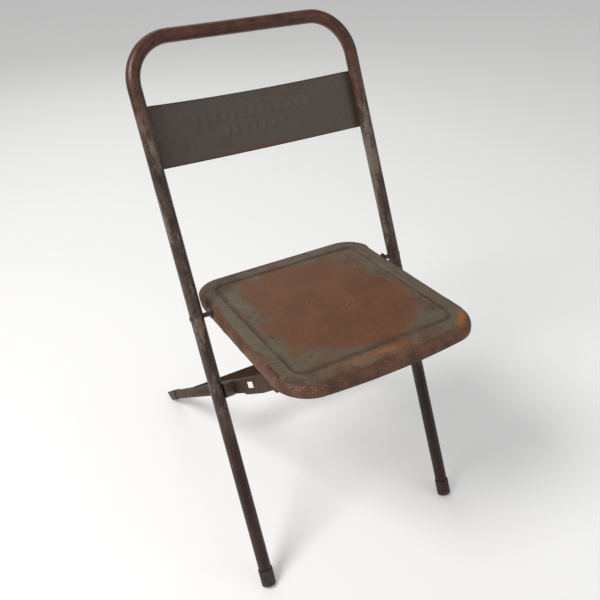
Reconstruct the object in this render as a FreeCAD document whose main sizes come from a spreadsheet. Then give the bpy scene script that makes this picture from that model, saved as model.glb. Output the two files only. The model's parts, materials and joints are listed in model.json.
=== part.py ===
import FreeCAD, Part
import math
import os
import Sketcher
from FreeCAD import Placement, Rotation, Vector

# Folding chair of bent tube and pressed sheet. Millimetres, +Z up, the chair faces -Y and stands open.
# One bent tube is the back and the front legs. The seat pan hinges on it near the seat's rear edge.
# A pair of pressed legs hinges under the seat, crosses the tube and stands on the floor behind.
os.makedirs("parts", exist_ok=True)
doc = FreeCAD.newDocument("FoldingChair")
sheet = doc.addObject("Spreadsheet::Sheet", "Sizes")

drivingSizes = [
    # bent tube: back and front legs
    ("tube_diameter", 22.0), ("tube_wall", 1.5), ("tube_spacing", 388.0), ("tube_rise", 915.0),
    ("bend_radius", 70.0), ("back_lean", 25.5),
    # foot caps on the tube ends
    ("cap_length", 29.0), ("cap_wall", 1.4), ("cap_floor", 3.0), ("cap_worn", 2.5),
    # back panel
    ("panel_height", 97.0), ("panel_base", 722.0), ("panel_bow", 22.0), ("panel_sheet", 1.2),
    ("crease_inset", 20.0), ("panel_tab", 26.0), ("panel_hem", 5.0),
    ("dash_width", 9.0), ("dash_height", 13.0), ("dash_pitch", 17.0), ("dash_relief", 0.6),
    ("upper_row", 63.0), ("lower_row", 38.0),
    # seat pan, measured from the hinge axis in the seat's own frame
    ("seat_width", 340.0), ("seat_rear", 88.5), ("seat_front", 276.0), ("seat_top", 9.7),
    ("seat_lip", 20.0), ("seat_sheet", 1.2), ("corner_radius", 50.0), ("edge_radius", 6.0),
    ("front_bow_radius", 1100.0), ("rear_lip", 6.5), ("lip_runout", 38.0), ("seat_angle", 2.7),
    ("bead_side", 32.0), ("bead_rear", 31.5), ("bead_front", 44.0), ("bead_corner", 20.0),
    ("bead_radius", 6.0), ("bead_depth", 2.4),
    ("ring_radius", 38.0), ("ring_gap", 9.0), ("ring_groove", 1.4),
    # seat hinge
    ("hinge_rise", 485.0), ("pin_diameter", 8.0), ("head_diameter", 11.0), ("head_height", 1.7),
    ("head_play", 0.4),
    ("washer_diameter", 17.0), ("washer_thickness", 1.5), ("side_play", 0.1), ("running_fit", 0.06),
    # rear legs
    ("leg_slope", 38.8), ("leg_foot", 551.6), ("leg_inset", 4.0), ("leg_sheet", 1.5),
    ("leg_flange", 13.0), ("leg_width", 23.0), ("foot_width", 17.0), ("pivot_drop", 9.0),
    ("head_length", 140.0), ("head_flare", 3.0), ("head_bare", 48.0),
    ("window_length", 28.0), ("window_height", 10.0), ("window_place", 97.6),
    ("slot_width", 8.6), ("slot_spare", 0.3),
    ("ferrule_length", 60.0), ("ferrule_wall", 1.2), ("ferrule_floor", 2.0),
    ("crossbar_place", 438.0), ("crossbar_depth", 20.0), ("crossbar_drop", 23.0), ("crossbar_sheet", 1.5),
    # guide studs on the tubes, and the pivot brackets under the seat
    ("stud_diameter", 8.0), ("stud_gap", 0.4), ("spacer_diameter", 25.0),
    ("bracket_sheet", 2.0), ("bracket_length", 34.0), ("bracket_foot", 16.0),
    ("thin_washer", 1.0), ("seat_gap", 0.05), ("weld_gap", 0.1),
]
for row, (alias, value) in enumerate(drivingSizes, start=1):
    sheet.set("A%d" % row, alias)
    sheet.set("B%d" % row, str(value))
    sheet.setAlias("B%d" % row, alias)
doc.recompute()


def size(alias):
    return float(getattr(sheet, alias))


# ---- places worked out from the driving sizes, in the side view (Y backwards, Z up, front feet at Y 0)
tubeRadius = size("tube_diameter") / 2
tubeHalf = size("tube_spacing") / 2
seatHalf = size("seat_width") / 2
legFace = seatHalf - size("leg_inset")
lean = math.radians(size("back_lean"))
slope = math.radians(size("leg_slope"))
tilt = math.radians(size("seat_angle"))


def onTube(rise):
    return Vector(0, rise * math.sin(lean), rise * math.cos(lean))


hinge = onTube(size("hinge_rise"))
foot = Vector(0, size("leg_foot"), 0)
legUp = Vector(0, -math.cos(slope), math.sin(slope))
seatUp = Vector(0, math.sin(tilt), math.cos(tilt))
seatForward = Vector(0, -math.cos(tilt), math.sin(tilt))

# The leg pivot lies on the leg's centre line, pivot_drop below the seat hinge across the seat.
legLength = ((hinge - foot).dot(seatUp) - size("pivot_drop")) / legUp.dot(seatUp)
pivot = foot + legUp * legLength
pivotReach = (pivot - hinge).dot(seatForward)

# The guide stud stands where the leg's centre line crosses the tube's axis.
tubeUp = onTube(1.0)
across = Vector(0, legUp.z, -legUp.y)
studRise = foot.dot(across) / tubeUp.dot(across)
stud = onTube(studRise)
studReach = (pivot - stud).Length

# Folded, the legs lie along the seat, so the stud's distance from the hinge gives the closing angle.
hingeToStud = size("hinge_rise") - studRise
closing = math.asin(size("pivot_drop") / hingeToStud)
foldedReach = pivotReach + hingeToStud * math.cos(closing)
seatFold = 90 + size("back_lean") - size("seat_angle") - math.degrees(closing)
legFold = size("leg_slope") - size("seat_angle")

tubeFrame = Placement(Vector(0, 0, 0), Rotation(Vector(1, 0, 0), -size("back_lean")))
seatFrame = Placement(hinge, Rotation(Vector(1, 0, 0), -size("seat_angle")))
legFrame = Placement(pivot, Rotation(Vector(1, 0, 0), 90 - size("leg_slope")))
pieces = []


def keep(piece, label, frame):
    piece.Label = label
    piece.Placement = frame.multiply(piece.Placement)
    pieces.append(piece)
    return piece


def bind(thing, prop, expression):
    thing.setExpression(prop, expression)


# ---- small builders shared by several pieces
def plane(body, role):
    return next(feature for feature in body.Origin.OriginFeatures if feature.Role == role)


def newSketch(body, name, role, offset=None):
    sketch = body.newObject("Sketcher::SketchObject", name)
    sketch.AttachmentSupport = (plane(body, role), [""])
    sketch.MapMode = "FlatFace"
    if offset is not None:
        sketch.AttachmentOffset = offset
    return sketch


def closedLoop(sketch, corners):
    """Straight edges through the corners, joined end to end."""
    count = len(corners)
    first = sketch.GeometryCount
    for i in range(count):
        sketch.addGeometry(Part.LineSegment(corners[i], corners[(i + 1) % count]), False)
    for i in range(count):
        sketch.addConstraint(Sketcher.Constraint("Coincident", first + i, 2, first + (i + 1) % count, 1))
    return first


def pointAt(sketch, edge, end, across, up):
    """Hold one end of an edge at a place given by two expressions."""
    point = sketch.Geometry[edge].StartPoint if end == 1 else sketch.Geometry[edge].EndPoint
    for kind, expression, value in (("DistanceX", across, point.x), ("DistanceY", up, point.y)):
        index = sketch.addConstraint(Sketcher.Constraint(kind, -1, 1, edge, end, value))
        bind(sketch, "Constraints[%d]" % index, expression)


def polygon(sketch, places):
    """A closed outline whose corners are pairs of expressions, with their first values."""
    corners = [Vector(x, y, 0) for x, y, _, _ in places]
    first = closedLoop(sketch, corners)
    for i, (_, _, across, up) in enumerate(places):
        pointAt(sketch, first + i, 1, across, up)


def circle(sketch, centre, radiusExpression, across=None, up=None):
    index = sketch.addGeometry(Part.Circle(centre, Vector(0, 0, 1), 1.0), False)
    radius = sketch.addConstraint(Sketcher.Constraint("Radius", index, 1.0))
    bind(sketch, "Constraints[%d]" % radius, radiusExpression)
    if across is None:
        sketch.addConstraint(Sketcher.Constraint("Coincident", index, 3, -1, 1))
    else:
        for kind, expression, value in (("DistanceX", across, centre.x), ("DistanceY", up, centre.y)):
            place = sketch.addConstraint(Sketcher.Constraint(kind, -1, 1, index, 3, value))
            bind(sketch, "Constraints[%d]" % place, expression)
    return index


def rod(name, radius, length, start, side=1):
    """A cylinder along X, from start outwards on one side."""
    cylinder = doc.addObject("Part::Cylinder", name)
    bind(cylinder, "Radius", radius)
    bind(cylinder, "Height", length)
    cylinder.Placement = Placement(Vector(side * start, 0, 0), Rotation(Vector(0, 1, 0), 90 * side))
    return cylinder


def join(name, parts):
    fused = doc.addObject("Part::MultiFuse", name)
    fused.Shapes = parts
    fused.Refine = True
    return fused


def subtract(name, base, tool):
    cut = doc.addObject("Part::Cut", name)
    cut.Base = base
    cut.Tool = tool
    return cut


# ---- bent tube: up from one foot, round two corners, down to the other foot
def makeTube():
    body = doc.addObject("PartDesign::Body", "Tube")
    spine = newSketch(body, "TubeLine", "XZ_Plane")
    bend = size("bend_radius")
    low = size("cap_worn") + size("cap_floor")
    top = size("tube_rise")
    left = spine.addGeometry(Part.LineSegment(Vector(-tubeHalf, low, 0), Vector(-tubeHalf, top - bend, 0)))
    corner = Part.Circle(Vector(-tubeHalf + bend, top - bend, 0), Vector(0, 0, 1), bend)
    turnLeft = spine.addGeometry(Part.ArcOfCircle(corner, math.pi / 2, math.pi))
    bar = spine.addGeometry(Part.LineSegment(Vector(-tubeHalf + bend, top, 0),
                                             Vector(tubeHalf - bend, top, 0)))
    corner = Part.Circle(Vector(tubeHalf - bend, top - bend, 0), Vector(0, 0, 1), bend)
    turnRight = spine.addGeometry(Part.ArcOfCircle(corner, 0, math.pi / 2))
    right = spine.addGeometry(Part.LineSegment(Vector(tubeHalf, top - bend, 0), Vector(tubeHalf, low, 0)))
    for first, end, second, start in ((left, 2, turnLeft, 2), (turnLeft, 1, bar, 1),
                                      (bar, 2, turnRight, 2), (turnRight, 1, right, 1)):
        spine.addConstraint(Sketcher.Constraint("Tangent", first, end, second, start))
    spine.addConstraint(Sketcher.Constraint("Vertical", left))
    spine.addConstraint(Sketcher.Constraint("Vertical", right))
    spine.addConstraint(Sketcher.Constraint("Horizontal", bar))
    spine.addConstraint(Sketcher.Constraint("Equal", turnLeft, turnRight))
    radius = spine.addConstraint(Sketcher.Constraint("Radius", turnLeft, bend))
    bind(spine, "Constraints[%d]" % radius, "Sizes.bend_radius")
    pointAt(spine, left, 1, "-Sizes.tube_spacing / 2", "Sizes.cap_worn + Sizes.cap_floor")
    pointAt(spine, right, 2, "Sizes.tube_spacing / 2", "Sizes.cap_worn + Sizes.cap_floor")
    level = spine.addConstraint(Sketcher.Constraint("DistanceY", -1, 1, bar, 1, top))
    bind(spine, "Constraints[%d]" % level, "Sizes.tube_rise")

    ring = newSketch(body, "TubeSection", "XY_Plane", Placement(Vector(-tubeHalf, 0, low), Rotation()))
    bind(ring, "AttachmentOffset.Base.x", "-Sizes.tube_spacing / 2")
    bind(ring, "AttachmentOffset.Base.z", "Sizes.cap_worn + Sizes.cap_floor")
    circle(ring, Vector(0, 0, 0), "Sizes.tube_diameter / 2")
    circle(ring, Vector(0, 0, 0), "Sizes.tube_diameter / 2 - Sizes.tube_wall")
    doc.recompute()
    pipe = body.newObject("PartDesign::AdditivePipe", "TubePipe")
    pipe.Profile = ring
    pipe.Spine = (spine, ["Edge%d" % (i + 1) for i in range(5)])
    pipe.Transition = "Right corner"

    # the hinge pins pass through both walls of each leg, the studs are welded into the inner wall
    for name, rise, diameter, through in (
            ("HingeHole", "Sizes.hinge_rise", "Sizes.pin_diameter / 2", True),
            ("StudHole", "%.6f" % studRise, "Sizes.stud_diameter / 2", False)):
        hole = newSketch(body, name, "YZ_Plane")
        circle(hole, Vector(0, studRise, 0), diameter + " + Sizes.running_fit", "0", rise)
        pocket = body.newObject("PartDesign::Pocket", name + "Cut")
        pocket.Profile = hole
        pocket.Midplane = True
        pocket.Type = "Length"
        if through:
            bind(pocket, "Length", "2 * Sizes.tube_spacing")
        else:
            bind(pocket, "Length", "Sizes.tube_spacing")
    doc.recompute()
    keep(body, "main_tube", tubeFrame)


# ---- turned caps on the two front feet, worn flat where they stand on the floor
def makeFootCap(name, side):
    outer = doc.addObject("Part::Cylinder", name + "Outer")
    bind(outer, "Radius", "Sizes.tube_diameter / 2 + Sizes.cap_wall + Sizes.running_fit")
    bind(outer, "Height", "Sizes.cap_length")
    bind(outer, "Placement.Base.z", "Sizes.cap_worn")
    bore = doc.addObject("Part::Cylinder", name + "Bore")
    bind(bore, "Radius", "Sizes.tube_diameter / 2 + Sizes.running_fit")
    bind(bore, "Height", "Sizes.cap_length")
    bind(bore, "Placement.Base.z", "Sizes.cap_worn + Sizes.cap_floor")
    cup = subtract(name + "Cup", outer, bore)
    floor = doc.addObject("Part::Box", name + "Floor")
    reach = 4 * size("tube_diameter")
    bind(floor, "Length", "8 * Sizes.tube_diameter")
    bind(floor, "Width", "8 * Sizes.tube_diameter")
    bind(floor, "Height", "4 * Sizes.tube_diameter")
    level = Rotation(Vector(1, 0, 0), size("back_lean"))
    floor.Placement = Placement(level.multVec(Vector(-reach, -reach, -reach)), level)
    worn = subtract(name, cup, floor)
    keep(worn, name, tubeFrame.multiply(Placement(Vector(side * tubeHalf, 0, 0), Rotation())))


# ---- back panel: one pressed strip, bowed backwards, its two tabs flat against the backs of the tubes
def arcStrip(front, back):
    """The bowed strip between two depths behind the tab face, as a face across the panel."""
    half = tubeHalf - size("crease_inset")
    bow = size("panel_bow")
    edges = []
    for depth, ends in ((front, (-half, half)), (back, (half, -half))):
        start = Vector(ends[0], depth, 0)
        end = Vector(ends[1], depth, 0)
        edges.append(Part.Arc(start, Vector(0, bow + depth, 0), end).toShape())
    sides = [Part.makeLine(Vector(half, front, 0), Vector(half, back, 0)),
             Part.makeLine(Vector(-half, back, 0), Vector(-half, front, 0))]
    return Part.Face(Part.Wire(Part.sortEdges(edges + sides)[0]))


def makePanel():
    sheetThickness = size("panel_sheet")
    height = size("panel_height")
    hem = size("panel_hem")
    crease = tubeHalf - size("crease_inset")
    strip = arcStrip(0, sheetThickness).extrude(Vector(0, 0, height))
    parts = []
    for level in (0, height - sheetThickness):
        lip = arcStrip(0, hem).extrude(Vector(0, 0, sheetThickness))
        lip.translate(Vector(0, 0, level))
        parts.append(lip)
    for side in (-1, 1):
        low = min(side * crease, side * (crease + size("panel_tab")))
        parts.append(Part.makeBox(size("panel_tab"), sheetThickness, height, Vector(low, 0, 0)))

    # two rows of plain raised dashes pressed out of the front
    raised = arcStrip(-size("dash_relief"), sheetThickness / 2)
    for count, level in ((13, size("upper_row")), (7, size("lower_row"))):
        row = raised.extrude(Vector(0, 0, size("dash_height")))
        row.translate(Vector(0, 0, level - size("dash_height") / 2))
        for i in range(count):
            middle = (i - (count - 1) / 2) * size("dash_pitch")
            corner = Vector(middle - size("dash_width") / 2, -hem, 0)
            block = Part.makeBox(size("dash_width"), 4 * size("panel_bow"), height, corner)
            parts.append(row.common(block))
    panel = doc.addObject("Part::Feature", "BackPanel")
    panel.Shape = strip.multiFuse(parts).removeSplitter()
    behind = Vector(0, tubeRadius + size("seat_gap"), size("panel_base"))
    keep(panel, "back_panel", tubeFrame.multiply(Placement(behind, Rotation())))


# ---- seat pan: padded up from its outline, rounded, beaded, then hollowed to sheet from below
def seatOutline(body, name, inset):
    sketch = newSketch(body, name, "XY_Plane")
    half = "Sizes.seat_width / 2 - " + inset
    rear = "Sizes.seat_rear - " + inset
    front = "-(Sizes.seat_front - " + inset + ")"
    bowed = "(Sizes.front_bow_radius - " + inset + ")"
    corner = "%s + %s - sqrt(%s ^ 2 - (%s) ^ 2)" % (front, bowed, bowed, half)
    w = seatHalf
    r = size("seat_rear")
    radius = size("front_bow_radius")
    f = -size("seat_front") + radius - math.sqrt(radius ** 2 - w ** 2)
    left = sketch.addGeometry(Part.LineSegment(Vector(-w, r, 0), Vector(-w, f, 0)))
    bow = sketch.addGeometry(Part.Arc(Vector(-w, f, 0), Vector(0, -size("seat_front"), 0), Vector(w, f, 0)))
    right = sketch.addGeometry(Part.LineSegment(Vector(w, f, 0), Vector(w, r, 0)))
    back = sketch.addGeometry(Part.LineSegment(Vector(w, r, 0), Vector(-w, r, 0)))
    sketch.addConstraint(Sketcher.Constraint("Coincident", left, 2, bow, 1))
    sketch.addConstraint(Sketcher.Constraint("Coincident", bow, 2, right, 1))
    sketch.addConstraint(Sketcher.Constraint("Coincident", right, 2, back, 1))
    sketch.addConstraint(Sketcher.Constraint("Coincident", back, 2, left, 1))
    pointAt(sketch, back, 1, half, rear)
    pointAt(sketch, back, 2, "-(" + half + ")", rear)
    pointAt(sketch, left, 2, "-(" + half + ")", corner)
    pointAt(sketch, right, 1, half, corner)
    index = sketch.addConstraint(Sketcher.Constraint("Radius", bow, radius))
    bind(sketch, "Constraints[%d]" % index, bowed)
    return sketch


def uprightEdges(shape):
    names = []
    for i, edge in enumerate(shape.Edges, start=1):
        if edge.Curve.TypeId == "Part::GeomLine" and abs(edge.tangentAt(edge.FirstParameter).z) > 0.99:
            names.append("Edge%d" % i)
    return names


def beadTool(name, radius):
    """A bar of round section bent round the bead's rounded rectangle."""
    half = seatHalf - size("bead_side")
    corner = size("bead_corner")
    rear = size("seat_rear") - size("bead_rear")
    front = size("bead_front") - size("seat_front")
    turns = [(half - corner, rear - corner, 0), (-half + corner, rear - corner, 90),
             (-half + corner, front + corner, 180), (half - corner, front + corner, 270)]
    edges = []
    ends = []
    for x, y, start in turns:
        arc = Part.Circle(Vector(x, y, 0), Vector(0, 0, 1), corner)
        edges.append(Part.ArcOfCircle(arc, math.radians(start), math.radians(start + 90)).toShape())
        ends.append((edges[-1].firstVertex().Point, edges[-1].lastVertex().Point))
    path = []
    for i in range(4):
        path += [edges[i], Part.makeLine(ends[i][1], ends[(i + 1) % 4][0])]
    spine = Part.Wire(path)
    start = ends[0][0]
    section = Part.Wire([Part.Circle(start, Vector(0, 1, 0), radius).toShape()])
    bar = spine.makePipeShell([section], True, False, 1)
    return bar


def seatBlank(name, inset, beadRadius):
    """The solid that the pan's outer or inner skin bounds, inset from the outside by the sheet."""
    body = doc.addObject("PartDesign::Body", name)
    outline = seatOutline(body, name + "Outline", inset)
    pad = body.newObject("PartDesign::Pad", name + "Pad")
    pad.Profile = outline
    pad.Type = "Length"
    pad.Reversed = True
    bind(pad, "Length", "Sizes.seat_lip")
    doc.recompute()
    corners = body.newObject("PartDesign::Fillet", name + "Corners")
    corners.Base = (pad, uprightEdges(pad.Shape))
    bind(corners, "Radius", "Sizes.corner_radius - " + inset)
    doc.recompute()
    topEdges = ["Edge%d" % i for i, edge in enumerate(corners.Shape.Edges, start=1)
                if edge.BoundBox.ZMin > -0.001]
    rounded = body.newObject("PartDesign::Fillet", name + "Edge")
    rounded.Base = (corners, topEdges)
    bind(rounded, "Radius", "Sizes.edge_radius - " + inset)
    doc.recompute()
    return body


def makeSeat():
    thickness = size("seat_sheet")
    outer = seatBlank("SeatOuter", "0", size("bead_radius"))
    inner = seatBlank("SeatInner", "Sizes.seat_sheet", size("bead_radius") + thickness)
    bind(inner, "Placement.Base.z", "-Sizes.seat_sheet")

    # the bead is a groove on top and a ridge below, so the same bent bar bounds both skins
    lift = size("bead_radius") - size("bead_depth")
    skins = []
    for blank, radius in ((outer, size("bead_radius")), (inner, size("bead_radius") + thickness)):
        bar = doc.addObject("Part::Feature", blank.Name + "BeadBar")
        bar.Shape = beadTool(bar.Name, radius)
        bar.Placement = Placement(Vector(0, 0, lift), Rotation())
        skins.append(subtract(blank.Name + "Beaded", blank, bar))
    pan = subtract("SeatShell", skins[0], skins[1])

    # plain rings pressed in the middle, the cut-back rear lip and the two hinge holes
    cutters = []
    middle = (size("seat_rear") - size("bead_rear") + size("bead_front") - size("seat_front")) / 2
    for i in range(2):
        ring = doc.addObject("Part::Torus", "SeatRing%d" % i)
        bind(ring, "Radius1", "Sizes.ring_radius - %d * Sizes.ring_gap" % i)
        bind(ring, "Radius2", "Sizes.ring_groove")
        ring.Placement = Placement(Vector(0, middle, size("ring_groove") * 0.55), Rotation())
        cutters.append(ring)
    legRoom = doc.addObject("Part::Box", "RearLipCut")
    bind(legRoom, "Length", "2 * Sizes.seat_width")
    bind(legRoom, "Width", "Sizes.seat_rear")
    bind(legRoom, "Height", "Sizes.seat_lip")
    corner = Vector(-2 * seatHalf, size("lip_runout"), -size("rear_lip") - size("seat_lip"))
    legRoom.Placement = Placement(corner, Rotation())
    cutters.append(legRoom)
    hole = rod("HingeHoles", "Sizes.pin_diameter / 2 + Sizes.running_fit", "Sizes.seat_width + 20",
               -seatHalf - 10)
    hole.Placement.Base.z = -size("seat_top")
    cutters.append(hole)
    pan = subtract("SeatPan", pan, join("SeatCutters", cutters))
    keep(pan, "seat_pan", seatFrame.multiply(Placement(Vector(0, 0, size("seat_top")), Rotation())))


# ---- seat hinge: a headed pin through each tube and the seat's side, with a washer in the gap
def makeSeatHinge(name, side):
    inside = seatHalf - size("seat_sheet") - size("head_play")
    outside = tubeHalf + tubeRadius + size("head_height") / 2
    head = rod("HingeHead" + name, "Sizes.head_diameter / 2", "Sizes.head_height",
               inside - size("head_height"), side)
    shank = rod("HingeShank" + name, "Sizes.pin_diameter / 2", "%.6f" % (outside - inside + 0.5),
                inside - 0.5, side)
    pin = join("HingePin" + name, [head, shank])
    keep(pin, "seat_hinge_pin_" + name, seatFrame)

    start = seatHalf + size("side_play")
    washer = subtract("HingeWasher" + name,
                      rod("WasherOuter" + name, "Sizes.washer_diameter / 2",
                          "Sizes.washer_thickness", start, side),
                      rod("WasherBore" + name, "Sizes.pin_diameter / 2 + Sizes.running_fit",
                          "Sizes.washer_thickness", start, side))
    keep(washer, "seat_hinge_washer_" + name, seatFrame)


# ---- guide stud with its spacer, welded in the inner wall of each tube
def makeGuideStud(name, side):
    start = legFace + size("stud_gap")
    innerWall = tubeHalf - tubeRadius
    length = innerWall + size("tube_wall") - start
    shaft = rod("StudShaft" + name, "Sizes.stud_diameter / 2", "%.6f" % length, start, side)
    frame = Placement(stud, Rotation())
    keep(shaft, "guide_stud_" + name, frame)
    filled = "%.6f - Sizes.side_play" % (innerWall - start)
    spacer = subtract("Spacer" + name,
                      rod("SpacerOuter" + name, "Sizes.spacer_diameter / 2", filled, start, side),
                      rod("SpacerBore" + name, "Sizes.stud_diameter / 2 + Sizes.running_fit",
                          filled, start, side))
    keep(spacer, "guide_spacer_" + name, frame)


# ---- rear leg in its own frame: pivot at the origin, foot straight below
def legHalfWidth(along):
    """Half the leg's width at a distance from the pivot: it tapers from the stud down to the foot."""
    wide = size("leg_width") / 2
    narrow = size("foot_width") / 2
    if along < studReach:
        return wide
    return wide + (narrow - wide) * (along - studReach) / (legLength - studReach)


def legBlank(start, end, upper, lower, inner, outer, side):
    """A straight tapered bar between two distances from the pivot."""
    corners = [Vector(0, upper[0], -start), Vector(0, upper[1], -end),
               Vector(0, -lower[1], -end), Vector(0, -lower[0], -start)]
    face = Part.Face(Part.makePolygon(corners + corners[:1]))
    bar = face.extrude(Vector(outer - inner, 0, 0))
    bar.translate(Vector(inner, 0, 0))
    if side < 0:
        bar = bar.mirror(Vector(0, 0, 0), Vector(1, 0, 0))
    return bar


def makeLeg(name, side):
    """Pressed channel with its web outboard, and a bare head with the window and the pivot hole."""
    skin = size("leg_sheet")
    web = legFace - skin
    inboard = legFace - size("leg_flange")
    bare = size("head_bare")
    half = size("leg_width") / 2
    flare = half + size("head_flare")
    footEnd = legLength + size("foot_width")
    footHalf = legHalfWidth(footEnd)
    bladeEnd = size("head_length")

    # the head's lower edge swells past the window and comes back in to the round end
    swell = [(0, half), (bare, flare),
             (size("window_place") + size("window_length"), flare), (bladeEnd, half)]
    head = [Vector(web, half, 0), Vector(web, half, -bladeEnd)]
    head += [Vector(web, -width, -along) for along, width in reversed(swell)]
    blade = Part.Face(Part.makePolygon(head + head[:1])).extrude(Vector(skin, 0, 0))
    nose = Part.makeCylinder(half, skin, Vector(web, 0, 0), Vector(1, 0, 0))
    blade = blade.fuse(nose)
    if side < 0:
        blade = blade.mirror(Vector(0, 0, 0), Vector(1, 0, 0))

    outer = [legBlank(bare, studReach, (half, half), (half, half), inboard, legFace, side),
             legBlank(studReach, footEnd, (half, footHalf), (half, footHalf), inboard, legFace, side)]
    inner = [legBlank(bare, studReach, (half - skin,) * 2, (half - skin,) * 2, inboard - 1, web, side),
             legBlank(studReach, footEnd, (half - skin, footHalf - skin), (half - skin, footHalf - skin),
                      inboard - 1, web, side)]
    shank = outer[0].fuse(outer[1]).cut(inner[0].fuse(inner[1]))

    # pivot hole, window, guide slot and the end cut parallel to the floor
    start = -legFace - 1 if side < 0 else inboard - 1
    depth = size("leg_flange") + 2
    xAxis = Vector(1, 0, 0)
    bore = size("pin_diameter") / 2 + size("running_fit")
    tools = [Part.makeCylinder(bore, depth, Vector(start, 0, 0), xAxis)]
    tools.append(Part.makeBox(depth, size("window_height"), size("window_length"),
                              Vector(start, -size("window_height") / 2,
                                     -size("window_place") - size("window_length") / 2)))
    slotHalf = size("slot_width") / 2
    slotTop = studReach - size("slot_spare")
    slotEnd = foldedReach + size("slot_spare")
    tools.append(Part.makeBox(depth, size("slot_width"), slotEnd - slotTop,
                              Vector(start, -slotHalf, -slotEnd)))
    for end in (slotTop, slotEnd):
        tools.append(Part.makeCylinder(slotHalf, depth, Vector(start, 0, -end), xAxis))
    level = Rotation(xAxis, size("leg_slope") - 90)
    reach = 3 * size("leg_width")
    floor = Part.makeBox(2 * reach + legFace, 2 * reach, reach, Vector(-reach - legFace, -reach, -reach))
    if side > 0:
        floor.translate(Vector(legFace, 0, 0))
    floorLevel = (size("ferrule_floor") + size("weld_gap")) / math.sin(slope)
    floor.Placement = Placement(Vector(0, 0, -legLength + floorLevel), level).multiply(floor.Placement)
    tools.append(floor)
    leg = doc.addObject("Part::Feature", "Leg" + name)
    leg.Shape = shank.fuse(blade).cut(tools).removeSplitter()
    keep(leg, "rear_leg_" + name, legFrame)


def makeFerrule(name, side):
    """A folded sleeve with a floor, round the foot of the leg."""
    wall = size("ferrule_wall")
    gap = size("weld_gap")
    start = legLength - size("ferrule_length")
    end = legLength + size("foot_width")
    inboard = legFace - size("leg_flange")

    def sleeve(extra, floorLevel):
        near = legHalfWidth(start) + extra
        far = legHalfWidth(end) + extra
        block = legBlank(start - (0 if extra > gap else 1), end, (near, far), (near, far),
                         inboard - extra, legFace + extra, side)
        wide = 4 * legFace
        cutter = Part.makeBox(wide, wide, wide / 2, Vector(-wide / 2, -wide / 2, -wide / 2))
        level = Rotation(Vector(1, 0, 0), size("leg_slope") - 90)
        base = Vector(0, 0, -legLength + floorLevel / math.sin(slope))
        cutter.Placement = Placement(base, level).multiply(cutter.Placement)
        return block.cut(cutter)

    cup = sleeve(gap + wall, 0.0).cut(sleeve(gap, size("ferrule_floor")))
    ferrule = doc.addObject("Part::Feature", "Ferrule" + name)
    ferrule.Shape = cup
    keep(ferrule, "rear_foot_ferrule_" + name, legFrame)


def makeCrossbar():
    """Channel open below: its plate lies on the legs' upper flanges, its two sides hang between them."""
    body = doc.addObject("PartDesign::Body", "Crossbar")
    skin = size("crossbar_sheet")
    top = legHalfWidth(size("crossbar_place")) + size("weld_gap") + skin
    low = top - size("crossbar_drop")
    near = -size("crossbar_place")
    far = near - size("crossbar_depth")
    high = "%.6f" % top
    under = high + " - Sizes.crossbar_sheet"
    bottom = high + " - Sizes.crossbar_drop"
    nearEdge = "-Sizes.crossbar_place"
    farEdge = nearEdge + " - Sizes.crossbar_depth"
    nearSkin = nearEdge + " - Sizes.crossbar_sheet"
    farSkin = farEdge + " + Sizes.crossbar_sheet"
    plate = [(top, near, high, nearEdge), (top, far, high, farEdge),
             (top - skin, far, under, farEdge), (top - skin, near, under, nearEdge)]
    channel = [(top, near, high, nearEdge), (top, far, high, farEdge), (low, far, bottom, farEdge),
               (low, far + skin, bottom, farSkin), (top - skin, far + skin, under, farSkin),
               (top - skin, near - skin, under, nearSkin), (low, near - skin, bottom, nearSkin),
               (low, near, bottom, nearEdge)]
    between = "Sizes.seat_width - 2 * (Sizes.leg_inset + Sizes.leg_flange + Sizes.weld_gap)"
    for title, outline, length in (("Channel", channel, between),
                                   ("Plate", plate, "Sizes.seat_width - 2 * Sizes.leg_inset")):
        sketch = newSketch(body, "Crossbar" + title, "YZ_Plane")
        polygon(sketch, outline)
        pad = body.newObject("PartDesign::Pad", "CrossbarPad" + title)
        pad.Profile = sketch
        pad.Midplane = True
        pad.Type = "Length"
        bind(pad, "Length", length)
    keep(body, "rear_crossbar", legFrame)


# ---- leg pivot under the seat: two angle brackets, one rod across, a thin washer by each bracket
def makeBracket(name, side):
    skin = size("bracket_sheet")
    ear = legFace - size("leg_sheet") - size("thin_washer") - 2 * size("side_play")
    under = size("seat_top") - size("seat_sheet") - size("seat_gap") + size("pivot_drop")
    half = size("bracket_length") / 2
    upright = Part.makeBox(skin, 2 * half, under, Vector(ear - skin, -half, 0))
    rounding = Part.makeCylinder(half, skin, Vector(ear - skin, 0, 0), Vector(1, 0, 0))
    flange = Part.makeBox(size("bracket_foot"), 2 * half, skin,
                          Vector(ear - size("bracket_foot"), -half, under - skin))
    bore = Part.makeCylinder(size("pin_diameter") / 2 + size("running_fit"), 2 * skin + 2,
                             Vector(ear - skin - 1, 0, 0), Vector(1, 0, 0))
    shape = upright.fuse([rounding, flange]).cut(bore).removeSplitter()
    if side < 0:
        shape = shape.mirror(Vector(0, 0, 0), Vector(1, 0, 0))
    bracket = doc.addObject("Part::Feature", "Bracket" + name)
    bracket.Shape = shape
    place = Vector(0, -pivotReach, -size("pivot_drop"))
    keep(bracket, "leg_bracket_" + name, seatFrame.multiply(Placement(place, Rotation())))

    washer = subtract("PivotWasher" + name,
                      rod("PivotWasherOuter" + name, "Sizes.washer_diameter / 2", "Sizes.thin_washer",
                          ear + size("side_play"), side),
                      rod("PivotWasherBore" + name, "Sizes.pin_diameter / 2 + Sizes.running_fit",
                          "Sizes.thin_washer", ear + size("side_play"), side))
    keep(washer, "leg_pivot_washer_" + name, seatFrame.multiply(Placement(place, Rotation())))


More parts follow.
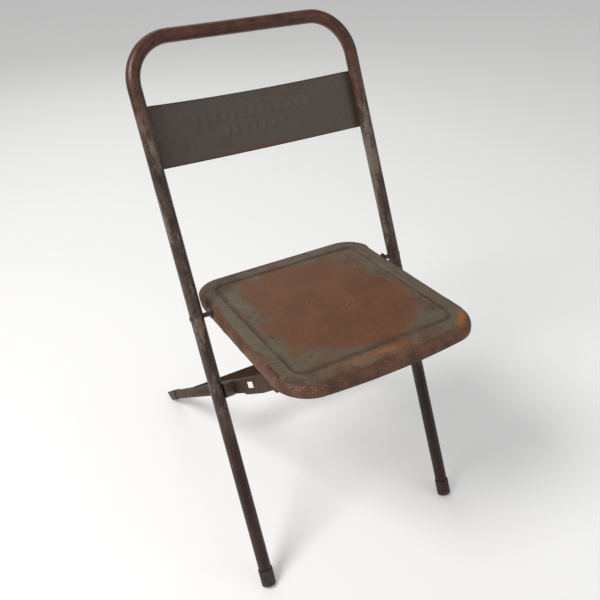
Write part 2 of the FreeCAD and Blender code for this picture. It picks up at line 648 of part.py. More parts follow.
def makePivotRod():
    reach = legFace + size("side_play")
    shank = rod("PivotShank", "Sizes.pin_diameter / 2", "%.6f" % (2 * reach), -reach)
    heads = [rod("PivotHead%d" % i, "Sizes.head_diameter / 2", "Sizes.head_height", reach, side)
             for i, side in enumerate((-1, 1))]
    place = Vector(0, -pivotReach, -size("pivot_drop"))
    keep(join("PivotRod", [shank] + heads), "leg_pivot_rod",
         seatFrame.multiply(Placement(place, Rotation())))


makeTube()
makePanel()
makeSeat()
makePivotRod()
makeCrossbar()
for name, side in (("left", -1), ("right", 1)):
    makeFootCap("front_foot_cap_" + name, side)
    makeSeatHinge(name, side)
    makeGuideStud(name, side)
    makeBracket(name, side)
    makeLeg(name, side)
    makeFerrule(name, side)
doc.recompute()

# ---- stand the chair over the middle of its own footprint, then check and write each piece
box = FreeCAD.BoundBox()
for piece in pieces:
    box.add(piece.Shape.optimalBoundingBox(False))
middle = Placement(Vector(0, -box.Center.y, 0), Rotation())
for piece in pieces:
    piece.Placement = middle.multiply(piece.Placement)
doc.recompute()
failed = [thing.Name for thing in doc.Objects if {"Invalid", "Error"} & set(thing.State)]
for piece in pieces:
    if piece.Shape.isNull() or not piece.Shape.isValid():
        failed.append(piece.Label)
if failed:
    raise RuntimeError("these did not build: " + ", ".join(failed))
for piece in pieces:
    piece.Shape.exportStep(os.path.join("parts", piece.Label + ".step"))

print("pieces %d, box %s" % (len(pieces), box))
for label, place in (("seat hinge", hinge), ("leg pivot", pivot), ("guide stud", stud)):
    print("%s y %.3f z %.3f" % (label, place.y - box.Center.y, place.z))
print("seat folds %.3f deg, legs %.3f deg, ratio %.5f" % (seatFold, legFold, -legFold / seatFold))
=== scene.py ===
import json
import math
import bmesh
import bpy
from mathutils import Matrix, Vector, noise


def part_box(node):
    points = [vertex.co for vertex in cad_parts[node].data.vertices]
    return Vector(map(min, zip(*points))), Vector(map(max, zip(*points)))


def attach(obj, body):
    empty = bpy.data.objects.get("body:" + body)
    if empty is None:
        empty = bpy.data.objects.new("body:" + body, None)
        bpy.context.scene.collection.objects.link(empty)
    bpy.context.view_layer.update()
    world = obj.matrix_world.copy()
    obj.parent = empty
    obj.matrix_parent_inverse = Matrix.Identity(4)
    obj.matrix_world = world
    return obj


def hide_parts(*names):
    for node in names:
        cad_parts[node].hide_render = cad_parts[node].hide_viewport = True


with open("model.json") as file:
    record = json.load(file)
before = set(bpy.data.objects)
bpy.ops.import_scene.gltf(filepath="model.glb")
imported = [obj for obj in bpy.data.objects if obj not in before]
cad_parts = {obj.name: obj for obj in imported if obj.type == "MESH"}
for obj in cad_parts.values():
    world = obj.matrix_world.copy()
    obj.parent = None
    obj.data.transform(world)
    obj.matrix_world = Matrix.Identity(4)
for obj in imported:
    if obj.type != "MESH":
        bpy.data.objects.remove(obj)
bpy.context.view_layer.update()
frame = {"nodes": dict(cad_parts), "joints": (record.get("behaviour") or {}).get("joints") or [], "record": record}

# Folding chair of bent tube and pressed sheet steel. Metres, and the chair faces -Y.
# Each piece is made flat and square in its own part's frame, then put in its place.

joints = {joint["name"]: joint for joint in frame["joints"]}
hinge = Vector(joints["seat_fold"]["pos_m"])
legPivot = Vector(joints["leg_fold"]["pos_m"])
finishes = {}  # filled in piece by piece


def smooth(low, high, value):
    t = min(max((value - low) / (high - low), 0.0), 1.0)
    return t * t * (3 - 2 * t)


def extrudeRing(bm, edges):
    made = bmesh.ops.extrude_edge_only(bm, edges=edges)["geom"]
    verts = [item for item in made if isinstance(item, bmesh.types.BMVert)]
    fresh = set(verts)
    ring = [item for item in made if isinstance(item, bmesh.types.BMEdge) and fresh.issuperset(item.verts)]
    return verts, ring


def finish(bm, name, body, slot, replaced, place, sheetThickness=0.0, divide=0):
    bmesh.ops.transform(bm, matrix=place, verts=bm.verts)
    bmesh.ops.recalc_face_normals(bm, faces=bm.faces)
    mesh = bpy.data.meshes.new(name)
    bm.to_mesh(mesh)
    bm.free()
    for face in mesh.polygons:
        face.use_smooth = True
    piece = bpy.data.objects.new(name, mesh)
    bpy.context.scene.collection.objects.link(piece)
    if sheetThickness:
        wall = piece.modifiers.new("wall", "SOLIDIFY")
        wall.thickness = sheetThickness
        wall.offset = -1
    if divide:
        finer = piece.modifiers.new("finer", "SUBSURF")
        finer.levels = divide
        finer.render_levels = divide
    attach(piece, body)
    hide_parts(*replaced)
    mesh.materials.append(finishes[slot])
    print("made", name)
    return piece


# shader helpers
# a colour as it looks on a screen, 0 to 255, made linear
def tone(red, green, blue):
    parts = []
    for value in (red, green, blue):
        share = value / 255
        parts.append(share / 12.92 if share <= 0.04045 else ((share + 0.055) / 1.055) ** 2.4)
    return (*parts, 1.0)


def add(tree, kind, values=None, **settings):
    made = tree.nodes.new(kind)
    for name, value in settings.items():
        setattr(made, name, value)
    for name, value in (values or {}).items():
        if isinstance(value, bpy.types.NodeSocket):
            tree.links.new(value, made.inputs[name])
        else:
            made.inputs[name].default_value = value
    return made


def combine(tree, operation, first, second=0.5, third=0.5):
    values = {0: first}
    if operation not in ("ABSOLUTE", "SQRT"):
        values[1] = second
    if operation == "MULTIPLY_ADD":
        values[2] = third
    return add(tree, "ShaderNodeMath", values, operation=operation).outputs[0]


def step(tree, value, low, high):
    values = {"Value": value, "From Min": low, "From Max": high}
    return add(tree, "ShaderNodeMapRange", values, interpolation_type="SMOOTHSTEP").outputs["Result"]


# 1 where the value is at the middle, 0 beyond the width
def band(tree, value, middle, width):
    off = combine(tree, "ABSOLUTE", combine(tree, "SUBTRACT", value, middle))
    return step(tree, off, width, 0.0)


def layer(tree, factor, under, over):
    return add(tree, "ShaderNodeMix", {0: factor, 6: under, 7: over}, data_type="RGBA").outputs[2]


def cloud(tree, vector, scale, detail=5.0, roughness=0.6):
    values = {"Vector": vector, "Scale": scale, "Detail": detail, "Roughness": roughness}
    return add(tree, "ShaderNodeTexNoise", values).outputs["Fac"]


def mapped(tree, vector, scale=(1, 1, 1), location=(0, 0, 0), rotation=(0, 0, 0)):
    values = {"Vector": vector, "Scale": scale, "Location": location, "Rotation": rotation}
    return add(tree, "ShaderNodeMapping", values).outputs["Vector"]


def times(tree, *factors):
    result = factors[0]
    for factor in factors[1:]:
        result = combine(tree, "MULTIPLY", result, factor)
    return result


# a colour laid over another where the mask is, at a share of its full strength
def tint(tree, under, mask, strength, over):
    return layer(tree, times(tree, mask, strength), under, over)


# a cloud about zero, as wide as the reach
def waver(tree, vector, look, reach):
    return times(tree, combine(tree, "SUBTRACT", cloud(tree, vector, *look), 0.5), reach)


# a cloud cut into patches
def patches(tree, vector, look):
    scale, detail, roughness, begins, full = look
    return step(tree, cloud(tree, vector, scale, detail, roughness), begins, full)


# effects that several finishes share
def newGroup(name, inputs, outputs):
    group = bpy.data.node_groups.new(name, "ShaderNodeTree")
    for label, kind, value in inputs:
        socket = group.interface.new_socket(name=label, in_out="INPUT", socket_type="NodeSocket" + kind)
        if value is not None:
            socket.default_value = value
    for label, kind in outputs:
        group.interface.new_socket(name=label, in_out="OUTPUT", socket_type="NodeSocket" + kind)
    return group, group.nodes.new("NodeGroupInput").outputs, group.nodes.new("NodeGroupOutput").inputs


# paint that has rubbed through in clouds with ragged, flaking borders
def makeWornPaint():
    group, given, result = newGroup(
        "worn_paint", [("Vector", "Vector", None), ("Scale", "Float", 20.0), ("Worn", "Float", 0.5),
                       ("Softness", "Float", 0.05)], [("Mask", "Float"), ("Border", "Float")])
    broad = cloud(group, given["Vector"], given["Scale"], 4.0, 0.55)
    fineScale = combine(group, "MULTIPLY", given["Scale"], 9.0)
    fine = cloud(group, given["Vector"], fineScale, 6.0, 0.7)
    both = combine(group, "MULTIPLY_ADD", fine, 0.42, combine(group, "MULTIPLY", broad, 0.58))
    low = combine(group, "SUBTRACT", given["Worn"], given["Softness"])
    high = combine(group, "ADD", given["Worn"], given["Softness"])
    mask = step(group, both, low, high)
    group.links.new(mask, result["Mask"])
    border = combine(group, "MULTIPLY", combine(group, "MULTIPLY", mask, 4.0),
                     combine(group, "SUBTRACT", 1.0, mask))
    group.links.new(border, result["Border"])
    return group


# mottled rust: a dark and a middle tone in clouds, with brighter bloom where the share allows
def makeRust():
    group, given, result = newGroup(
        "rust_tones", [("Vector", "Vector", None), ("Scale", "Float", 40.0),
                       ("Dark", "Color", tone(62, 42, 36)), ("Middle", "Color", tone(104, 72, 56)),
                       ("Bloom", "Color", tone(140, 84, 48)), ("Share", "Float", 0.3)],
        [("Color", "Color"), ("Grain", "Float")])
    broad = cloud(group, given["Vector"], given["Scale"], 6.0, 0.65)
    fineScale = combine(group, "MULTIPLY", given["Scale"], 11.0)
    fine = cloud(group, given["Vector"], fineScale, 4.0, 0.7)
    base = layer(group, step(group, broad, 0.32, 0.66), given["Dark"], given["Middle"])
    grain = combine(group, "MULTIPLY_ADD", fine, 0.5, combine(group, "MULTIPLY", broad, 0.5))
    limit = combine(group, "SUBTRACT", 0.78, combine(group, "MULTIPLY", given["Share"], 0.5))
    bloom = step(group, grain, limit, combine(group, "ADD", limit, 0.09))
    group.links.new(layer(group, bloom, base, given["Bloom"]), result["Color"])
    group.links.new(grain, result["Grain"])
    return group


# small round pits of uneven size, more of them as the share goes up
def makePits():
    group, given, result = newGroup(
        "pits", [("Vector", "Vector", None), ("Scale", "Float", 400.0), ("Share", "Float", 0.4)],
        [("Mask", "Float")])
    cells = add(group, "ShaderNodeTexVoronoi", {"Vector": given["Vector"], "Scale": given["Scale"]})
    chance = add(group, "ShaderNodeSeparateColor", {"Color": cells.outputs["Color"]}).outputs["Red"]
    broad = cloud(group, given["Vector"], combine(group, "MULTIPLY", given["Scale"], 0.08), 3.0, 0.6)
    keep = step(group, combine(group, "MULTIPLY", chance, combine(group, "MULTIPLY", broad, 2.0)),
                combine(group, "SUBTRACT", 1.0, given["Share"]), 1.0)
    dot = step(group, cells.outputs["Distance"], 0.5, 0.12)
    group.links.new(combine(group, "MULTIPLY", dot, keep), result["Mask"])
    return group


# fine straight scratches in two directions
def makeScratches():
    group, given, result = newGroup(
        "scratches", [("Vector", "Vector", None), ("Scale", "Float", 60.0), ("Share", "Float", 0.3)],
        [("Mask", "Float")])
    limit = combine(group, "SUBTRACT", 0.80, combine(group, "MULTIPLY", given["Share"], 0.2))
    found = None
    for angle, stretch in ((0.5, 22.0), (-0.9, 30.0)):
        turned = mapped(group, given["Vector"], (1, stretch, 1), rotation=(0.3, 0.2, angle))
        lines = step(group, cloud(group, turned, given["Scale"], 2.0, 0.5), limit,
                     combine(group, "ADD", limit, 0.05))
        found = lines if found is None else combine(group, "MAXIMUM", found, lines)
    group.links.new(found, result["Mask"])
    return group


shared = {
    "wornPaint": makeWornPaint(),
    "rust": makeRust(),
    "pits": makePits(),
    "scratches": makeScratches(),
}


def effect(tree, name, values):
    made = tree.nodes.new("ShaderNodeGroup")
    made.node_tree = shared[name]
    for label, value in values.items():
        if isinstance(value, bpy.types.NodeSocket):
            tree.links.new(value, made.inputs[label])
        else:
            made.inputs[label].default_value = value
    return made.outputs


# finishes
def newFinish(name, specular=0.5, coat=0.0, coatRoughness=0.3):
    material = bpy.data.materials.new(name)
    material.use_nodes = True
    tree = material.node_tree
    shader = tree.nodes["Principled BSDF"]
    shader.inputs["Specular IOR Level"].default_value = specular
    shader.inputs["Coat Weight"].default_value = coat
    shader.inputs["Coat Roughness"].default_value = coatRoughness
    where = tree.nodes.new("ShaderNodeTexCoord").outputs["Object"]
    return material, tree, shader, where


def close(tree, shader, colour, roughness, height, depth, metallic=None):
    tree.links.new(colour, shader.inputs["Base Color"])
    tree.links.new(roughness, shader.inputs["Roughness"])
    if metallic is not None:
        tree.links.new(metallic, shader.inputs["Metallic"])
    bump = add(tree, "ShaderNodeBump", {"Height": height, "Strength": 1.0, "Distance": depth})
    tree.links.new(bump.outputs["Normal"], shader.inputs["Normal"])


# the bent tube
tube = {
    "radius": 0.011,
    "lean": math.radians(25.5),
    "hingeRise": 0.485,  # along the tube, from the floor to the seat hinge
    "rise": 0.915,       # along the tube, from the floor to the top bar
    "bend": 0.070,       # of the tube's middle line
    "start": 0.012,      # the cut end hides in the foot cap
    "sides": 40,
    "bendSteps": 18,
    "pace": 0.02,        # length of one step along the straight runs
    "merge": 0.00001,
}
tube["half"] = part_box("main_tube")[1].x - tube["radius"]
tubeUp = Vector((0, math.sin(tube["lean"]), math.cos(tube["lean"])))
tubePlace = Matrix.Translation(hinge - tubeUp * tube["hingeRise"]) @ Matrix.Rotation(-tube["lean"], 4, "X")

tubeFinish = {
    "dark": tone(44, 33, 29),
    "brown": tone(82, 64, 54),
    "bloom": tone(98, 64, 50),
    "paint": tone(132, 119, 104),
    "topDark": tone(56, 33, 25),
    "topRed": tone(94, 52, 37),
    "topBloom": tone(106, 66, 48),
    "footDark": tone(34, 17, 11),
    "footRed": tone(58, 29, 19),
    "footBloom": tone(98, 60, 46),
    "pit": tone(36, 25, 22),
    "bare": tone(150, 140, 130),
    # clouds: scale, detail, roughness, and for patches where they begin and are full
    "levelCloud": (14.0, 4.0, 0.6),
    "barePatches": (210.0, 4.0, 0.75, 0.63, 0.70),
    # levels above the floor: where each part begins and where it is full
    "top": (0.66, 0.80),
    "foot": (0.36, 0.20),
    "paintStart": (0.20, 0.38),
    "levelWaver": 0.24,
    "alongStretch": 0.32,
}


def makeTubePaint():
    look = tubeFinish
    material, tree, shader, where = newFinish("tube_paint", specular=0.36, coat=0.05, coatRoughness=0.25)
    straight = add(tree, "ShaderNodeAttribute", attribute_name="straightened").outputs["Vector"]
    grain = mapped(tree, straight, (1.0, 1.0, look["alongStretch"]))
    height = add(tree, "ShaderNodeSeparateXYZ", {"Vector": where}).outputs["Z"]
    level = combine(tree, "ADD", height, waver(tree, straight, look["levelCloud"], look["levelWaver"]))
    footShare = step(tree, level, *look["foot"])

    # rust in the middle, redder at the top and darker at the feet
    middle = effect(tree, "rust", {"Vector": grain, "Scale": 95.0, "Dark": look["dark"],
                                   "Middle": look["brown"], "Bloom": look["bloom"], "Share": 0.22})
    top = effect(tree, "rust", {"Vector": straight, "Scale": 55.0, "Dark": look["topDark"],
                                "Middle": look["topRed"], "Bloom": look["topBloom"], "Share": 0.25})
    low = effect(tree, "rust", {"Vector": grain, "Scale": 80.0, "Dark": look["footDark"],
                                "Middle": look["footRed"], "Bloom": look["footBloom"], "Share": 0.2})
    colour = layer(tree, step(tree, level, *look["top"]), middle["Color"], top["Color"])
    colour = layer(tree, footShare, colour, low["Color"])

    # what is left of the paint, pits, and spots rubbed bare
    kept = effect(tree, "wornPaint", {"Vector": grain, "Scale": 62.0, "Worn": 0.525, "Softness": 0.03})
    between = times(tree, step(tree, level, *reversed(look["top"])), step(tree, level, *look["paintStart"]))
    colour = tint(tree, colour, times(tree, kept["Mask"], between), 0.62, look["paint"])
    pits = effect(tree, "pits", {"Vector": straight, "Scale": 520.0, "Share": 0.6})["Mask"]
    colour = tint(tree, colour, pits, 0.55, look["pit"])
    worn = patches(tree, mapped(tree, straight, (1, 1, 0.3), location=(0.2, 0.1, 0)), look["barePatches"])
    colour = tint(tree, colour, worn, 0.45, look["bare"])

    duller = combine(tree, "MULTIPLY_ADD", footShare, 0.08, 0.20)
    roughness = combine(tree, "MULTIPLY_ADD", middle["Grain"], 0.30, duller)
    bumps = combine(tree, "MULTIPLY_ADD", pits, -0.5, times(tree, middle["Grain"], 0.6))
    bumps = combine(tree, "MULTIPLY_ADD", kept["Mask"], 0.12, bumps)
    close(tree, shader, colour, roughness, bumps, 0.00035, times(tree, worn, 0.4))
    return material


finishes["tube_paint"] = makeTubePaint()


def makeTube():
    bm = bmesh.new()
    straight = bm.verts.layers.float_vector.new("straightened")
    half = tube["half"]
    bendStart = tube["rise"] - tube["bend"]
    ring = bmesh.ops.create_circle(bm, segments=tube["sides"], radius=tube["radius"],
                                   matrix=Matrix.Translation((-half, 0, tube["start"])))
    edges = list({edge for vert in ring["verts"] for edge in vert.link_edges})

    def run(edges, way, length):
        steps = max(1, round(length / tube["pace"]))
        for _ in range(steps):
            verts, edges = extrudeRing(bm, edges)
            bmesh.ops.translate(bm, verts=verts, vec=way * (length / steps))
        return edges

    def turn(edges, centre):
        verts = list({vert for edge in edges for vert in edge.verts})
        made = bmesh.ops.spin(bm, geom=verts + edges, cent=centre, axis=(0, 1, 0),
                              angle=math.pi / 2, steps=tube["bendSteps"])["geom_last"]
        return [item for item in made if isinstance(item, bmesh.types.BMEdge)]

    edges = run(edges, Vector((0, 0, 1)), bendStart - tube["start"])
    edges = turn(edges, (-half + tube["bend"], 0, bendStart))
    edges = run(edges, Vector((1, 0, 0)), 2 * (half - tube["bend"]))
    edges = turn(edges, (half - tube["bend"], 0, bendStart))
    run(edges, Vector((0, 0, -1)), bendStart - tube["start"])
    bmesh.ops.remove_doubles(bm, verts=bm.verts, dist=tube["merge"])

    # each point's place on the same tube pulled straight, for finishes that run along it
    quarter = tube["bend"] * math.pi / 2
    topHalf = half - tube["bend"]
    for vert in bm.verts:
        side = -1 if vert.co.x < 0 else 1
        x, z = abs(vert.co.x), vert.co.z
        if z < bendStart:
            along, out = z - bendStart - quarter - topHalf, x - half
        elif x < topHalf:
            along, out = -x, z - tube["rise"]
        else:
            angle = math.atan2(z - bendStart, x - topHalf)
            out = math.hypot(z - bendStart, x - topHalf) - tube["bend"]
            along = -topHalf - (math.pi / 2 - angle) * tube["bend"]
        vert[straight] = Vector((out, vert.co.y, side * along))
    return finish(bm, "bent_tube", "main_frame", "tube_paint", ["main_tube"], tubePlace)


makeTube()


# the bowed back panel, with two rows of plain raised dashes
panel = {
    "base": 0.722,       # along the tube, from the floor to the lower edge
    "height": 0.097,
    "bow": 0.022,
    "crease": tube["half"] - 0.020,
    "tab": 0.026,
    "creaseRound": 0.006,
    "sheet": 0.0012,
    "hemRadius": 0.0016,
    "hemSteps": 6,
    "hemTurns": 4,       # of the steps that bend; the rest run flat
    "hemPace": 0.0012,
    "gap": 0.00005,
    "rows": ((13, 0.063), (7, 0.038)),
    "dash": (0.009, 0.013),
    "pitch": 0.017,
    "relief": 0.0011,
    "dashEdge": (-0.0016, 0.0012),
    "cell": 0.0015,
    "near": 0.0001,
    "dentScale": 9.0,
    "dentDepth": 0.0005,
    "dentFree": 0.06,    # no dents this near the ends
}


panelFinish = {
    "paint": tone(83, 75, 66),
    "paintShade": tone(71, 64, 56),
    "stain": tone(86, 69, 59),
    "stainDark": tone(68, 50, 44),
    "stainBloom": tone(104, 70, 56),
    "edge": tone(96, 54, 46),
    "worn": tone(98, 74, 60),
    # red brown for the lower edge line, partly rust and partly painted shade under the hem
    "dirt": tone(40, 33, 30),
    "scratch": tone(120, 112, 102),
    # clouds: scale, detail, roughness, and for patches where they begin and are full
    "paintCloud": (42.0, 7.0, 0.65),
    "stainPatches": (11.0, 6.0, 0.6, 0.50, 0.66),
    "edgePatches": (30.0, 5.0, 0.65, 0.30, 0.58),
    "cornerPatches": (22.0, 6.0, 0.65, 0.36, 0.60),
    "redLineShadePatches": (24.0, 4.0, 0.6, 0.28, 0.46),
    "rubbedPatches": (120.0, 4.0, 0.7, 0.30, 0.60),
    # shares of the panel's height, and metres across: where each begins and is full
    "lowEdge": (0.13, 0.02),
    "highEdge": (0.90, 0.99),
    "sideEdge": (0.160, 0.182),
    "cornerUp": (0.62, 0.10),
    "cornerAcross": (0.02, -0.16),
    # the lower edge line of rust and painted hem shade
    "redLineAndHemShade": (0.10, 0.045),
}


def makePanelPaint():
    look = panelFinish
    material, tree, shader, where = newFinish("panel_paint", specular=0.45, coat=0.06, coatRoughness=0.4)
    low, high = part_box("back_panel")
    parts = add(tree, "ShaderNodeSeparateXYZ", {"Vector": where}).outputs
    up = combine(tree, "DIVIDE", combine(tree, "SUBTRACT", parts["Z"], low.z), high.z - low.z)
    sideways = combine(tree, "ABSOLUTE", parts["X"])
    paint = layer(tree, cloud(tree, where, *look["paintCloud"]), look["paintShade"], look["paint"])

    # brown stains in clouds, along the edges and up from one lower corner
    stains = patches(tree, mapped(tree, where, (0.7, 1, 1), location=(0.4, 0, 0.2)), look["stainPatches"])
    edges = combine(tree, "MAXIMUM", step(tree, up, *look["lowEdge"]), step(tree, up, *look["highEdge"]))
    edges = combine(tree, "MAXIMUM", edges, step(tree, sideways, *look["sideEdge"]))
    edges = times(tree, edges, patches(tree, where, look["edgePatches"]))
    corner = times(tree, step(tree, up, *look["cornerUp"]), step(tree, parts["X"], *look["cornerAcross"]),
                   patches(tree, where, look["cornerPatches"]))
    stained = combine(tree, "MAXIMUM", stains, combine(tree, "MAXIMUM", edges, corner))
    stain = effect(tree, "rust", {"Vector": where, "Scale": 36.0, "Dark": look["stainDark"],
                                  "Middle": look["stain"], "Bloom": look["stainBloom"], "Share": 0.2})
    colour = tint(tree, paint, stained, 0.72, stain["Color"])
    # a red-brown line along the lower edge: partly rust, partly painted shade under the hem rolled to the back
    redLineAndHemShade = times(tree, step(tree, up, *look["redLineAndHemShade"]), patches(tree, where, look["redLineShadePatches"]))
    colour = tint(tree, colour, redLineAndHemShade, 0.88, look["edge"])

    # the raised dashes are rubbed, and all of it has specks and scratches
    raised = add(tree, "ShaderNodeAttribute", attribute_name="raised").outputs["Fac"]
    rubbed = times(tree, raised, patches(tree, where, look["rubbedPatches"]))
    colour = tint(tree, colour, rubbed, 0.7, look["worn"])
    specks = effect(tree, "pits", {"Vector": where, "Scale": 330.0, "Share": 0.5})["Mask"]
    colour = tint(tree, colour, specks, 0.5, look["dirt"])
    lines = effect(tree, "scratches", {"Vector": where, "Scale": 30.0, "Share": 0.4})["Mask"]
    colour = tint(tree, colour, lines, 0.2, look["scratch"])

    roughness = combine(tree, "MULTIPLY_ADD", stain["Grain"], 0.25, 0.34)
    height = combine(tree, "MULTIPLY_ADD", specks, -0.5, times(tree, stain["Grain"], 0.5))
    close(tree, shader, colour, roughness, height, 0.0003)
    return material


finishes["panel_paint"] = makePanelPaint()


# how far back the strip stands: an arc between the folds, flat along the tabs
def panelDepth(x):
    half, bow = panel["crease"], panel["bow"]
    radius = (half * half + bow * bow) / (2 * bow)
    off = abs(x)
    arc = bow - radius + math.sqrt(max(radius * radius - off * off, 0.0)) if off < half else 0.0
    near = panel["creaseRound"]
    if abs(off - half) < near:  # the fold along each tab is a soft one
        inside = half - near
        rise = bow - radius + math.sqrt(radius * radius - inside * inside)
        t = (off - inside) / (2 * near)
        arc = rise * (1 - t) ** 2
    return arc


# 1 on a raised dash, 0 off it
def dashHeight(x, z):
    width, height = panel["dash"]
    best = 0.0
    for count, level in panel["rows"]:
        for i in range(count):
            middle = (i - (count - 1) / 2) * panel["pitch"]
            off = max(abs(x - middle) - width / 2, abs(z - level) - height / 2)
            best = max(best, 1 - smooth(*panel["dashEdge"], off))
    return best


def makePanel():
    bm = bmesh.new()
    raised = bm.verts.layers.float.new("raised")
    half = panel["crease"] + panel["tab"]
    height = panel["height"]
    across = round(2 * half / panel["cell"])
    up = round(height / panel["cell"])
    bmesh.ops.create_grid(bm, x_segments=across, y_segments=up, size=0.5,
                          matrix=Matrix.Diagonal((2 * half, height, 1, 1)))
    bmesh.ops.translate(bm, verts=bm.verts, vec=(0, height / 2, 0))
    bmesh.ops.rotate(bm, verts=bm.verts, cent=(0, 0, 0), matrix=Matrix.Rotation(math.pi / 2, 3, "X"))
    for edgeLevel in (0.0, height):  # hems rolled to the back along the two long edges
        ring = [e for e in bm.edges if all(abs(v.co.z - edgeLevel) < panel["near"] for v in e.verts)]
        way = 1 if edgeLevel else -1
        radius, turns = panel["hemRadius"], panel["hemTurns"]
        for i in range(1, panel["hemSteps"] + 1):
            angle = math.pi / 2 * min(i, turns) / turns
            verts, ring = extrudeRing(bm, ring)
            for vert in verts:
                vert.co.y = radius * (1 - math.cos(angle)) + max(i - turns, 0) * panel["hemPace"]
                vert.co.z = edgeLevel + way * (radius * math.sin(angle) - radius)
    for vert in bm.verts:
        x, z = vert.co.x, vert.co.z
        dash = dashHeight(x, z) if vert.co.y < panel["near"] else 0.0
        vert[raised] = dash
        dent = noise.noise(Vector((x * panel["dentScale"], z * panel["dentScale"], 4.0)))
        dent *= panel["dentDepth"] * smooth(half, half - panel["dentFree"], abs(x))
        vert.co.y += panelDepth(x) - dash * panel["relief"] + dent
    behind = Matrix.Translation((0, tube["radius"] + panel["gap"], panel["base"]))
    return finish(bm, "back_strip", "main_frame", "panel_paint", ["back_panel"], tubePlace @ behind,
                  sheetThickness=panel["sheet"])


makePanel()


# the seat pan
seat = {
    "half": 0.170,
    "rear": 0.0885,
    "front": 0.2628,     # at the corners, before the front edge bows out
    "bowRadius": 1.1,
    "corner": 0.050,
    "top": 0.0097,       # above the hinge
    "tilt": math.radians(2.7),
    "sheet": 0.0012,
    "lip": 0.020,
    "rearLip": 0.0065,
    "lipBend": 0.7,      # the most of the lip that its bend may take
    "lipDrops": (0.75, 0.5, 0.25),
    "lipRunout": (0.036, 0.050),
    "roll": 0.014,       # radius of the rolled edge
    "rollSteps": 9,
    "hem": 0.0022,
    "hemSteps": 3,
    "hemTuck": 1.3,
    "flatSteps": (0.2, 0.45, 0.7, 0.9),
    "bead": 0.032,       # middle of the groove, in from the side
    "beadWidth": 0.0125,
    "beadDepth": 0.0023,
    "beadSteps": 12,
    "besideBead": (0.0025, 0.007),
    "rings": (0.038, 0.029),
    "ringWidth": 0.0032,
    "ringDepth": 0.0007,
    "ringSteps": 6,
    "middleRings": (0.022, 0.015, 0.009, 0.004),
    "blendSteps": 14,    # from the groove's outline to the round rings
    "dish": 0.0016,
    "dishRadius": 0.15,
    "waveScale": 14.0,
    "waveDepth": 0.0005,
    "waveStart": 0.02,
    "leastCorner": 0.004,
    "bowFade": (0.10, 0.24),
    "cornerSteps": 14,
    "sideSteps": 24,
}
seatPlace = Matrix.Translation(hinge) @ Matrix.Rotation(-seat["tilt"], 4, "X")
seatPlace = seatPlace @ Matrix.Translation((0, 0, seat["top"]))

seatFinish = {
    "paint": tone(107, 95, 79),
    "paintShade": tone(88, 77, 64),
    "rubbed": tone(111, 71, 46),        # brown where sitting has rubbed the paint away
    "rubbedDark": tone(99, 63, 42),
    "rubbedBloom": tone(118, 84, 62),
    "border": tone(103, 78, 62),        # under the flaking paint of the border
    "borderDark": tone(78, 58, 47),
    "edge": tone(109, 76, 59),
    "edgeDark": tone(79, 54, 43),
    "edgeBloom": tone(122, 66, 48),
    "orange": tone(156, 92, 38),
    "ring": tone(138, 96, 64),
    "groove": tone(74, 52, 42),
    "dirt": tone(42, 33, 29),
    "mottle": tone(66, 50, 42),
    "scratch": tone(140, 122, 104),
    # bare metal chips on the worn rim, made pale as partly painted highlights
    "bareChipGlint": tone(186, 170, 158),
    # clouds: scale, detail, roughness, and for patches where they begin and are full
    "raggedCloud": (13.0, 8.0, 0.62),
    "paintCloud": (55.0, 6.0, 0.65),
    "edgeCloud": (38.0, 6.0, 0.7),
    "streakCloud": (30.0, 4.0, 0.6),
    "groovePatches": (26.0, 6.0, 0.65, 0.36, 0.56),
    "streakPatches": (55.0, 5.0, 0.65, 0.30, 0.55),
    "cornerPatches": (34.0, 5.0, 0.6, 0.30, 0.52),
    "mottlePatches": (95.0, 7.0, 0.78, 0.555, 0.64),
    "chipGlintPatches": (330.0, 3.0, 0.7, 0.60, 0.66),
    # the rubbed patch: half its width and depth, how square, how ragged, and its border
    "rubbedHalf": (0.128, 0.142),
    "rubbedPower": 3.0,
    "rubbedRagged": 3.4,
    "rubbedEdge": (1.08, 0.62),
    # places on the seat: where something begins and where it is full
    "wornShare": 0.450,
    "edgeWear": (0.016, 0.0),
    "edgeWearShare": 0.16,
    "frontWear": (-0.17, -0.25),
    "frontWearShare": 0.020,
    "edgeBand": (0.0085, 0.001),
    "edgeWaver": 0.022,
    "grooveHalf": 0.0062,
    "front": (-0.20, -0.22),
    "streakMiddle": -0.020,
    "streakInset": 0.0195,
    "streakHalf": 0.0050,
    "streakReach": (0.066, 0.040),
    "streakSlope": 0.02,
    "streakWaver": 0.012,
    "haloHalf": 0.014,
    "haloReach": (0.10, 0.03),
    "haloShare": 0.4,
    "cornerAcross": (0.112, 0.140),
    "cornerBack": (-0.212, -0.235),
    "cornerInset": 0.016,
    "cornerHalf": 0.012,
    "rim": -0.004,
    "rimHalf": 0.009,
    # where the bright rim chips, partly painted highlights, gather at the left front
    "glintChipsAcross": (-0.09, -0.15),
    "glintChipsBack": (-0.15, -0.23),
    "glintChipsElsewhere": 0.12,
}


